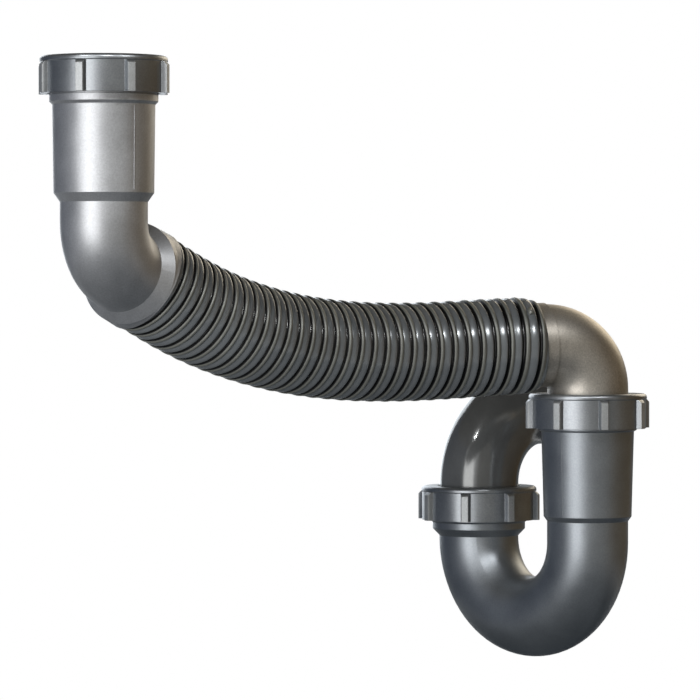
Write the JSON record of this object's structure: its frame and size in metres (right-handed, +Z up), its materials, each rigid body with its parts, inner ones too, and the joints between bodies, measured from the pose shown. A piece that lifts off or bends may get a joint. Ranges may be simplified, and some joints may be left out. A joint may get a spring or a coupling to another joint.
{
  "type": "flexible sink trap",
  "caption": "Flexible sink trap: compression inlet, corrugated hose, elbow, U-bend water seal and swivelling outlet bend with a plain 40 mm spigot.",
  "frame": {"origin": "on the inlet's axis, at the top of the inlet socket's straight bore, where the seal's seat begins", "axes": "+Z up along the inlet's axis, out of its mouth; +X and +Y level, the hose runs towards +X and +Y"},
  "size_m": [0.2901, 0.312, 0.2896],
  "materials": {
    "inlet_moulding": "satin moulded",
    "elbow_moulding": "satin moulded, lightly grained",
    "u_bend_moulding": "semi-gloss moulded",
    "outlet_moulding": "gloss moulded",
    "nut_plastic": "satin moulded",
    "hose_plastic": "semi-gloss extruded",
    "seal_rubber": "matt",
    "washer_plastic": "natural polyethylene"
  },
  "bodies": {
    "inlet": {"inlet_elbow": "inlet_moulding", "inlet_seal": "seal_rubber", "flexible_hose": "hose_plastic"},
    "inlet_washer": {"inlet_slip_washer": "washer_plastic"},
    "inlet_nut": {"inlet_nut": "nut_plastic"},
    "trap_elbow": {"trap_elbow": "elbow_moulding"},
    "trap_seal": {"trap_seal": "seal_rubber"},
    "u_bend": {"u_bend": "u_bend_moulding", "outlet_seal": "seal_rubber"},
    "trap_washer": {"trap_slip_washer": "washer_plastic"},
    "trap_nut": {"trap_nut": "nut_plastic"},
    "outlet_washer": {"outlet_slip_washer": "washer_plastic"},
    "outlet_nut": {"outlet_nut": "nut_plastic"},
    "outlet_bend": {"outlet_bend": "outlet_moulding"}
  },
  "joints": [
    {"name": "inlet_nut_lift", "type": "slide", "parent": "inlet", "child": "inlet_washer", "axis": [0, 0, 1], "range_m": [0, 0.00962]},
    {"name": "inlet_nut_turn", "type": "hinge", "parent": "inlet_washer", "child": "inlet_nut", "pos_m": [0, 0, 0], "axis": [0, 0, 1], "range_deg": [0, 1080]},
    {"name": "hose_flex", "type": "hinge", "parent": "inlet", "child": "trap_elbow", "pos_m": [0.104, 0.098, -0.124], "axis": [0, 0, 1], "range_deg": [-25, 25], "deforming": ["flexible_hose"]},
    {"name": "trap_drop", "type": "slide", "parent": "trap_elbow", "child": "trap_seal", "axis": [0, 0, 1], "range_m": [-0.025, 0]},
    {"name": "trap_swivel", "type": "hinge", "parent": "trap_seal", "child": "u_bend", "pos_m": [0.2291, 0.1632, -0.1577], "axis": [0, 0, 1], "range_deg": [-180, 15]},
    {"name": "trap_nut_lift", "type": "slide", "parent": "u_bend", "child": "trap_washer", "axis": [0, 0, 1], "range_m": [0, 0.0018]},
    {"name": "trap_nut_turn", "type": "hinge", "parent": "trap_washer", "child": "trap_nut", "pos_m": [0.2291, 0.1632, -0.1577], "axis": [0, 0, 1], "range_deg": [0, 200]},
    {"name": "outlet_nut_lift", "type": "slide", "parent": "u_bend", "child": "outlet_washer", "axis": [0, 0, 1], "range_m": [0, 0.00482]},
    {"name": "outlet_nut_turn", "type": "hinge", "parent": "outlet_washer", "child": "outlet_nut", "pos_m": [0.17718, 0.22006, -0.2056], "axis": [0, 0, 1], "range_deg": [0, 540]},
    {"name": "outlet_swivel", "type": "hinge", "parent": "u_bend", "child": "outlet_bend", "pos_m": [0.17718, 0.22006, -0.2056], "axis": [0, 0, 1], "range_deg": [-30, 150]}
  ],
  "couplings": [
    {"joint": "inlet_nut_lift", "follows": "inlet_nut_turn", "m_per_rad": 0.0005093},
    {"joint": "trap_nut_lift", "follows": "trap_nut_turn", "m_per_rad": 0.0005093},
    {"joint": "outlet_nut_lift", "follows": "outlet_nut_turn", "m_per_rad": 0.0005093}
  ]
}
